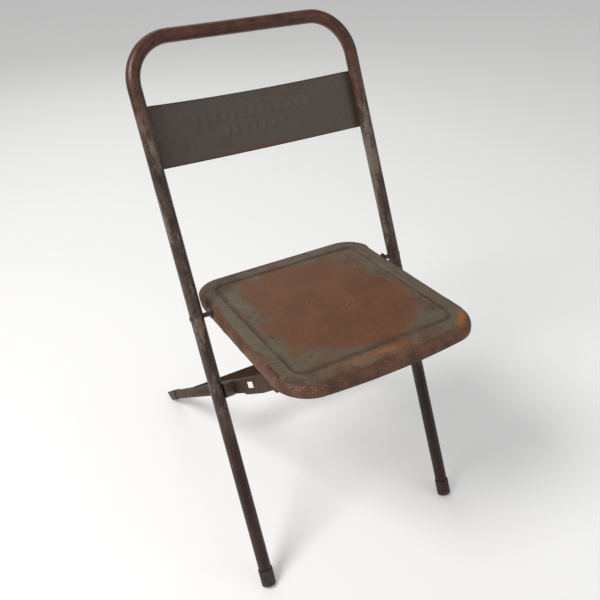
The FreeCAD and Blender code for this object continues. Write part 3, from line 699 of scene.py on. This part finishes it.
def makeSeatPaint():
    look = seatFinish
    material, tree, shader, where = newFinish("seat_paint", specular=0.22)
    plan = add(tree, "ShaderNodeAttribute", attribute_name="seatPlan").outputs["Vector"]
    parts = add(tree, "ShaderNodeSeparateXYZ", {"Vector": plan}).outputs
    across, back, inset = parts["X"], parts["Y"], parts["Z"]
    fromMiddle = combine(tree, "SUBTRACT", back, (seat["rear"] - seat["front"]) / 2)

    # rubbed patch: a squarish round about the middle with a ragged border
    sides = []
    for off, half in zip((across, fromMiddle), look["rubbedHalf"]):
        share = combine(tree, "ABSOLUTE", combine(tree, "DIVIDE", off, half))
        sides.append(combine(tree, "POWER", share, look["rubbedPower"]))
    aside = mapped(tree, where, location=(0.31, 0.12, 0.4))
    ragged = waver(tree, aside, look["raggedCloud"], look["rubbedRagged"])
    reach = combine(tree, "ADD", combine(tree, "ADD", *sides), ragged)
    rubbed = step(tree, reach, *look["rubbedEdge"])

    # the border keeps its paint in clouds, and loses it towards the rolled edge
    edgeWear = times(tree, step(tree, inset, *look["edgeWear"]), look["edgeWearShare"])
    frontWear = times(tree, step(tree, back, *look["frontWear"]), look["frontWearShare"])
    worn = combine(tree, "ADD", combine(tree, "ADD", look["wornShare"], edgeWear), frontWear)
    kept = effect(tree, "wornPaint", {"Vector": where, "Scale": 17.0, "Softness": 0.055, "Worn": worn})
    paint = layer(tree, cloud(tree, where, *look["paintCloud"]), look["paintShade"], look["paint"])
    brown = effect(tree, "rust", {"Vector": where, "Scale": 22.0, "Dark": look["rubbedDark"],
                                  "Middle": look["rubbed"], "Bloom": look["rubbedBloom"], "Share": 0.35})
    under = effect(tree, "rust", {"Vector": where, "Scale": 44.0, "Dark": look["borderDark"],
                                  "Middle": look["border"], "Bloom": look["rubbed"], "Share": 0.35})
    colour = layer(tree, kept["Mask"], under["Color"], paint)
    colour = tint(tree, colour, rubbed, 0.93, brown["Color"])

    # the pressed rings have rubbed paler
    squared = combine(tree, "MULTIPLY_ADD", across, across, times(tree, fromMiddle, fromMiddle))
    fromCentre = combine(tree, "SQRT", squared)
    pressed = [band(tree, fromCentre, radius, seat["ringWidth"] / 2) for radius in seat["rings"]]
    colour = tint(tree, colour, combine(tree, "MAXIMUM", *pressed), 0.4, look["ring"])

    # rolled edge in red brown
    edgeRust = effect(tree, "rust", {"Vector": where, "Scale": 30.0, "Dark": look["edgeDark"],
                                     "Middle": look["edge"], "Bloom": look["edgeBloom"], "Share": 0.3})
    edgeWaver = waver(tree, where, look["edgeCloud"], look["edgeWaver"])
    edge = step(tree, combine(tree, "ADD", inset, edgeWaver), *look["edgeBand"])
    colour = layer(tree, edge, colour, edgeRust["Color"])

    # the groove holds rust and dirt
    groove = times(tree, band(tree, inset, seat["bead"], look["grooveHalf"]),
                   patches(tree, where, look["groovePatches"]))
    colour = tint(tree, colour, groove, 0.72, look["groove"])

    # a bloom of orange rust runs along the front border, outside the groove, and another at a corner
    slant = combine(tree, "MULTIPLY_ADD", across, look["streakSlope"],
                    waver(tree, where, look["streakCloud"], look["streakWaver"]))
    place = combine(tree, "ADD", inset, slant)
    inFront = step(tree, back, *look["front"])
    offMiddle = combine(tree, "ABSOLUTE", combine(tree, "SUBTRACT", across, look["streakMiddle"]))
    ribbon = times(tree, band(tree, place, look["streakInset"], look["streakHalf"]),
                   times(tree, step(tree, offMiddle, *look["streakReach"]), inFront))
    halo = times(tree, band(tree, place, look["streakInset"], look["haloHalf"]),
                 times(tree, step(tree, offMiddle, *look["haloReach"]), inFront))
    mottled = patches(tree, mapped(tree, where, (0.45, 1, 1)), look["streakPatches"])
    streak = times(tree, combine(tree, "MAXIMUM", ribbon, times(tree, halo, look["haloShare"])),
                   combine(tree, "MULTIPLY_ADD", mottled, 0.65, 0.35))
    corner = times(tree, step(tree, across, *look["cornerAcross"]), step(tree, back, *look["cornerBack"]),
                   band(tree, place, look["cornerInset"], look["cornerHalf"]),
                   patches(tree, where, look["cornerPatches"]))
    colour = tint(tree, colour, combine(tree, "MAXIMUM", streak, corner), 0.82, look["orange"])

    # dark specks in the border, fine scratches, and bright chips on the worn edge: bare metal, partly painted
    # highlights
    outside = combine(tree, "SUBTRACT", 1.0, times(tree, rubbed, 0.75))
    specks = effect(tree, "pits", {"Vector": where, "Scale": 240.0, "Share": 0.52})["Mask"]
    specks = times(tree, specks, outside)
    colour = tint(tree, colour, specks, 0.6, look["dirt"])
    mottles = patches(tree, mapped(tree, where, location=(0.7, 0.3, 0.1)), look["mottlePatches"])
    colour = tint(tree, colour, times(tree, mottles, outside), 0.5, look["mottle"])
    lines = effect(tree, "scratches", {"Vector": where, "Scale": 26.0, "Share": 0.42})["Mask"]
    colour = tint(tree, colour, lines, 0.22, look["scratch"])
    # bright rim chips: partly bare metal, partly painted highlights, so most of them sit at the left front
    leftFront = times(tree, step(tree, across, *look["glintChipsAcross"]), step(tree, back, *look["glintChipsBack"]))
    chipsAndGlints = times(tree, patches(tree, where, look["chipGlintPatches"]),
                  band(tree, inset, look["rim"], look["rimHalf"]),
                  combine(tree, "MULTIPLY_ADD", leftFront, 0.9, look["glintChipsElsewhere"]))
    colour = tint(tree, colour, chipsAndGlints, 0.6, look["bareChipGlint"])

    paintLeft = times(tree, kept["Mask"], combine(tree, "SUBTRACT", 1.0, rubbed))
    smoother = combine(tree, "MULTIPLY_ADD", paintLeft, -0.06, 0.42)
    roughness = combine(tree, "MULTIPLY_ADD", brown["Grain"], 0.22, smoother)
    height = combine(tree, "MULTIPLY_ADD", paintLeft, 0.30, times(tree, brown["Grain"], 0.5))
    height = combine(tree, "SUBTRACT", height, times(tree, specks, 0.4))
    close(tree, shader, colour, roughness, height, 0.0004, times(tree, chipsAndGlints, 0.7))
    return material


finishes["seat_paint"] = makeSeatPaint()


def seatOutline(inset):
    corner = max(seat["corner"] - inset, seat["leastCorner"])
    half = seat["half"] - inset
    rear = seat["rear"] - inset
    front = -seat["front"] + inset
    bowFull = math.sqrt(seat["bowRadius"] ** 2 - seat["half"] ** 2)
    fade = 1 - min(max(inset / seat["bead"], 0.0), 1.0)
    centres = [(half - corner, rear - corner), (-half + corner, rear - corner),
               (-half + corner, front + corner), (half - corner, front + corner)]
    points = []
    for k, (cx, cy) in enumerate(centres):
        for i in range(seat["cornerSteps"] + 1):
            angle = math.pi / 2 * (k + i / seat["cornerSteps"])
            points.append((cx + corner * math.cos(angle), cy + corner * math.sin(angle)))
        end = points[-1]
        nx, ny = centres[(k + 1) % 4]
        angle = math.pi / 2 * (k + 1)
        start = (nx + corner * math.cos(angle), ny + corner * math.sin(angle))
        for i in range(1, seat["sideSteps"]):
            part = i / seat["sideSteps"]
            points.append((end[0] + (start[0] - end[0]) * part, end[1] + (start[1] - end[1]) * part))
    bowed = []
    for x, y in points:
        bow = math.sqrt(seat["bowRadius"] ** 2 - x * x) - bowFull
        bowed.append(Vector((x, y - bow * fade * smooth(*seat["bowFade"], -y), 0)))
    return bowed


def makeSeat():
    bm = bmesh.new()
    plan = bm.verts.layers.float_vector.new("seatPlan")
    middle = Vector((0, (seat["rear"] - seat["front"]) / 2, 0))
    roll = seat["roll"]

    def lipDepth(y):
        t = smooth(*seat["lipRunout"], y)
        return seat["lip"] + (seat["rearLip"] - seat["lip"]) * t

    rings = []  # each ring is a list of (place, inset) round the pan, from the hem to the middle

    def lipRing(inset, drop, hemDrop=0.0):
        places = []
        for point in seatOutline(inset):
            depth = lipDepth(point.y)
            bend = min(roll, depth * seat["lipBend"])
            low = depth - hemDrop
            z = -bend - (low - bend) * drop
            places.append((Vector((point.x, point.y, z)), z))
        rings.append(places)

    hem = seat["hem"]
    for i in range(seat["hemSteps"] + 1):
        angle = math.pi / 2 * i / seat["hemSteps"]
        tuck = hem * (1 - math.sin(angle)) * seat["hemTuck"]
        lipRing(tuck, 1.0, hem * (1 - math.cos(angle)))
    for drop in seat["lipDrops"]:
        lipRing(0.0, drop)
    for i in range(seat["rollSteps"] + 1):
        angle = math.pi / 2 * i / seat["rollSteps"]
        places = []
        for point in seatOutline(roll * (1 - math.cos(angle))):
            bend = min(roll, lipDepth(point.y) * seat["lipBend"])
            z = -bend * (1 - math.sin(angle))
            places.append((Vector((point.x, point.y, z)), roll * (1 - math.cos(angle)) + z))
        rings.append(places)

    beadHalf = seat["beadWidth"] / 2
    flat = [roll + (seat["bead"] - beadHalf - roll) * part for part in seat["flatSteps"]]
    halfSteps = seat["beadSteps"] / 2
    groove = [seat["bead"] + beadHalf * (-1 + i / halfSteps) for i in range(seat["beadSteps"] + 1)]
    inner = [seat["bead"] + beadHalf + extra for extra in seat["besideBead"]]
    for inset in flat + groove + inner:
        off = (inset - seat["bead"]) / beadHalf
        z = -seat["beadDepth"] * 0.5 * (1 + math.cos(math.pi * off)) if abs(off) < 1 else 0.0
        rings.append([(Vector((point.x, point.y, z)), inset) for point in seatOutline(inset)])

    last = rings[-1]
    angles = [math.atan2(place.y - middle.y, place.x - middle.x) for place, _ in last]
    biggest = seat["rings"][0] + seat["ringWidth"]
    for i in range(1, seat["blendSteps"] + 1):
        t = i / seat["blendSteps"]
        places = []
        for (place, inset), angle in zip(last, angles):
            onCircle = middle + Vector((math.cos(angle), math.sin(angle), 0)) * biggest
            places.append((place.lerp(onCircle, t), inset + (place - onCircle).length * t))
        rings.append(places)
    radii = []
    for radius in seat["rings"]:
        steps = seat["ringSteps"]
        radii += [radius + seat["ringWidth"] * (0.5 - j / steps) for j in range(steps + 1)]
    radii += seat["middleRings"]
    for radius in radii:
        z = 0.0
        for groovedRadius in seat["rings"]:
            off = (radius - groovedRadius) / (seat["ringWidth"] / 2)
            if abs(off) < 1:
                z = -seat["ringDepth"] * 0.5 * (1 + math.cos(math.pi * off))
        places = []
        for angle, (_, inset) in zip(angles, rings[-1]):
            spot = middle + Vector((math.cos(angle) * radius, math.sin(angle) * radius, z))
            places.append((spot, inset))
        rings.append(places)

    circle = bmesh.ops.create_circle(bm, segments=len(rings[0]), radius=seat["half"])["verts"]
    edges = list({edge for vert in circle for edge in vert.link_edges})
    ringVerts = circle
    for number, places in enumerate(rings):
        if number:
            newVerts, edges = extrudeRing(bm, edges)
            known = set(newVerts)
            ringVerts = [next(edge.other_vert(vert) for edge in vert.link_edges
                              if edge.other_vert(vert) in known) for vert in ringVerts]
        for vert, (place, inset) in zip(ringVerts, places):
            dish = seat["dish"] * (1 - smooth(0.0, seat["dishRadius"], (place.xy - middle.xy).length))
            dish *= 1 if inset > 0 else 0
            wave = noise.noise(place * seat["waveScale"]) * seat["waveDepth"]
            wave *= smooth(0.0, seat["waveStart"], inset)
            vert.co = place + Vector((0, 0, wave - dish))
            vert[plan] = Vector((place.x, place.y, inset))
    bmesh.ops.contextual_create(bm, geom=edges)
    return finish(bm, "seat_shell", "seat", "seat_paint", ["seat_pan"], seatPlace,
                  sheetThickness=seat["sheet"], divide=1)


makeSeat()


# the legs, pins, washers, brackets and caps
legFinish = {
    "slope": math.radians(38.8),  # of the open legs, below level
    "paint": tone(66, 55, 40),
    "dark": tone(40, 30, 22),
    "brown": tone(64, 47, 34),
    "bloom": tone(98, 62, 38),
    "headDark": tone(54, 36, 26),
    "headBrown": tone(86, 57, 38),
    "pit": tone(38, 30, 26),
    "endCloud": (24.0, 4.0, 0.6),
    "endWaver": 0.10,
    # from the leg pivot, along the leg: where each reddish end begins and is full
    "head": (0.16, 0.09),
    "foot": (0.40, 0.46),
}


def makeLegPaint():
    look = legFinish
    material, tree, shader, where = newFinish("leg_paint", specular=0.14)
    slope = look["slope"]
    parts = add(tree, "ShaderNodeSeparateXYZ", {"Vector": where}).outputs
    along = combine(tree, "MULTIPLY_ADD", parts["Z"], -math.sin(slope), combine(
        tree, "MULTIPLY_ADD", parts["Y"], math.cos(slope),
        legPivot.z * math.sin(slope) - legPivot.y * math.cos(slope)))
    along = combine(tree, "ADD", along, waver(tree, where, look["endCloud"], look["endWaver"]))
    rust = effect(tree, "rust", {"Vector": where, "Scale": 60.0, "Dark": look["dark"],
                                 "Middle": look["brown"], "Bloom": look["bloom"], "Share": 0.34})
    grain = mapped(tree, where, (1, 0.3, 1), rotation=(slope, 0, 0))
    kept = effect(tree, "wornPaint", {"Vector": grain, "Scale": 26.0, "Worn": 0.47, "Softness": 0.05})
    colour = tint(tree, rust["Color"], kept["Mask"], 0.8, look["paint"])
    redder = effect(tree, "rust", {"Vector": where, "Scale": 48.0, "Dark": look["headDark"],
                                   "Middle": look["headBrown"], "Bloom": look["bloom"], "Share": 0.4})
    ends = combine(tree, "MAXIMUM", step(tree, along, *look["head"]), step(tree, along, *look["foot"]))
    colour = tint(tree, colour, ends, 0.8, redder["Color"])
    pits = effect(tree, "pits", {"Vector": where, "Scale": 420.0, "Share": 0.6})["Mask"]
    colour = tint(tree, colour, pits, 0.6, look["pit"])
    roughness = combine(tree, "MULTIPLY_ADD", rust["Grain"], 0.3, 0.45)
    height = combine(tree, "MULTIPLY_ADD", pits, -0.5, times(tree, rust["Grain"], 0.6))
    close(tree, shader, colour, roughness, height, 0.00035)
    return material


steelFinish = {
    "bareDark": tone(46, 37, 30),
    "bare": tone(79, 67, 55),
    "bareBloom": tone(92, 64, 46),
    "turnedCloud": (240.0, 3.0, 0.6),
    "metal": (0.62, 0.40),
    "capDark": tone(40, 28, 24),
    "cap": tone(70, 52, 42),
    "capBloom": tone(100, 70, 50),
    "capPit": tone(28, 21, 19),
}


def makeBareSteel():
    look = steelFinish
    material, tree, shader, where = newFinish("bare_steel", specular=0.5)
    rust = effect(tree, "rust", {"Vector": where, "Scale": 160.0, "Dark": look["bareDark"],
                                 "Middle": look["bare"], "Bloom": look["bareBloom"], "Share": 0.35})
    turned = cloud(tree, mapped(tree, where, (6, 1, 1)), *look["turnedCloud"])
    roughness = combine(tree, "MULTIPLY_ADD", rust["Grain"], 0.35, 0.22)
    metal = times(tree, step(tree, rust["Grain"], *look["metal"]), 0.3)
    height = combine(tree, "MULTIPLY_ADD", turned, 0.4, rust["Grain"])
    close(tree, shader, rust["Color"], roughness, height, 0.0002, metal)
    return material


def makeCapSteel():
    look = steelFinish
    material, tree, shader, where = newFinish("cap_steel", specular=0.4)
    rust = effect(tree, "rust", {"Vector": where, "Scale": 90.0, "Dark": look["capDark"],
                                 "Middle": look["cap"], "Bloom": look["capBloom"], "Share": 0.3})
    pits = effect(tree, "pits", {"Vector": where, "Scale": 520.0, "Share": 0.7})["Mask"]
    colour = tint(tree, rust["Color"], pits, 0.6, look["capPit"])
    roughness = combine(tree, "MULTIPLY_ADD", rust["Grain"], 0.3, 0.42)
    height = combine(tree, "MULTIPLY_ADD", pits, -0.7, rust["Grain"])
    close(tree, shader, colour, roughness, height, 0.0005)
    return material


finishes.update(leg_paint=makeLegPaint(), bare_steel=makeBareSteel(), cap_steel=makeCapSteel())
print("finishes made:", ", ".join(finishes))

# copies of the frame's own solids, merged, with their sharp edges eased
easing = {
    "madeAfresh": ("main_tube", "back_panel", "seat_pan"),
    "legs": ("rear_leg_left", "rear_leg_right", "rear_crossbar"),
    "legEase": 0.0005,
    "smallEase": 0.0003,
    "steps": 2,
    "sharp": math.radians(40),
    "flat": math.radians(0.5),
    "merge": 0.000002,
}


def makeEased(node, body, slot):
    bm = bmesh.new()
    bm.from_mesh(frame["nodes"][node].data)
    bmesh.ops.remove_doubles(bm, verts=bm.verts, dist=easing["merge"])
    bmesh.ops.dissolve_limit(bm, angle_limit=easing["flat"], verts=bm.verts, edges=bm.edges)
    sharp = [edge for edge in bm.edges if len(edge.link_faces) == 2
             and edge.calc_face_angle() > easing["sharp"]]
    width = easing["legEase"] if node in easing["legs"] else easing["smallEase"]
    bmesh.ops.bevel(bm, geom=sharp, offset=width, offset_type="OFFSET", segments=easing["steps"],
                    profile=0.5, affect="EDGES", clamp_overlap=True, material=-1)
    piece = finish(bm, node + "_eased", body, slot, [node], Matrix())
    piece.data.set_sharp_from_angle(angle=easing["sharp"])
    return piece


slots = {item["node"]: item["material_slot"] for item in frame["record"]["subparts"]}
for body, nodes in frame["record"]["behaviour"]["bodies"].items():
    for node in nodes:
        if node not in easing["madeAfresh"]:
            makeEased(node, body, slots[node])


# camera, light and floor
camera = {
    "place": (-0.4814, -0.8920, 1.0488),
    "turn": math.radians(29.27),
    "pitch": math.radians(33.38),
    "roll": math.radians(-1.21),
    "lens": 40.32,
    "sensor": 36.0,
}


def makeCamera():
    turn, pitch, roll = camera["turn"], camera["pitch"], camera["roll"]
    ahead = Vector((math.sin(turn) * math.cos(pitch), math.cos(turn) * math.cos(pitch), -math.sin(pitch)))
    across = Vector((math.cos(turn), -math.sin(turn), 0))
    up = across.cross(ahead)
    right = across * math.cos(roll) + up * math.sin(roll)
    top = up * math.cos(roll) - across * math.sin(roll)
    data = bpy.data.cameras.new("viewpoint")
    data.lens = camera["lens"]
    data.sensor_width = camera["sensor"]
    viewpoint = bpy.data.objects.new("viewpoint", data)
    bpy.context.scene.collection.objects.link(viewpoint)
    turned = Matrix((right, top, -ahead)).transposed().to_4x4()
    viewpoint.matrix_world = Matrix.Translation(camera["place"]) @ turned
    bpy.context.scene.camera = viewpoint


makeCamera()
bpy.context.scene.view_settings.view_transform = "Standard"


lamps = {  # place, aim, size, power and colour
    "key": ((-1.9, -0.2, 2.6), (0, 0, 0.4), 1.2, 56, (1.0, 0.99, 0.97)),
    "fill": ((1.6, -2.2, 2.0), (0, 0, 0.4), 2.5, 9, (0.97, 0.98, 1.0)),
    "back": ((0.4, 2.4, 2.2), (0, 0, 0.5), 2.0, 12, (1.0, 1.0, 1.0)),
}
surround = {"Color": (0.93, 0.93, 0.93, 1), "Strength": 0.40}
floorSize = 8.0
floorLook = {
    "Base Color": (0.92, 0.92, 0.915, 1),
    "Roughness": 0.9,
    "Emission Color": (1, 1, 1, 1),
    "Emission Strength": 0.14,
}


def makeLight(name, place, target, size, power, colour):
    data = bpy.data.lights.new(name, "AREA")
    data.shape = "DISK"
    data.size = size
    data.energy = power
    data.color = colour
    lamp = bpy.data.objects.new(name, data)
    bpy.context.scene.collection.objects.link(lamp)
    lamp.location = place
    lamp.rotation_euler = (Vector(target) - Vector(place)).to_track_quat("-Z", "Y").to_euler()


for name, values in lamps.items():
    makeLight(name, *values)

world = bpy.data.worlds.new("studio")
bpy.context.scene.world = world
world.use_nodes = True
for name, value in surround.items():
    world.node_tree.nodes["Background"].inputs[name].default_value = value
print("light ready")


def makeFloor():
    mesh = bpy.data.meshes.new("floor")
    bm = bmesh.new()
    bmesh.ops.create_grid(bm, x_segments=4, y_segments=4, size=floorSize)
    bm.to_mesh(mesh)
    bm.free()
    floor = bpy.data.objects.new("floor", mesh)
    bpy.context.scene.collection.objects.link(floor)
    material = bpy.data.materials.new("pale_floor")
    material.use_nodes = True
    for name, value in floorLook.items():
        material.node_tree.nodes["Principled BSDF"].inputs[name].default_value = value
    mesh.materials.append(material)


makeFloor()
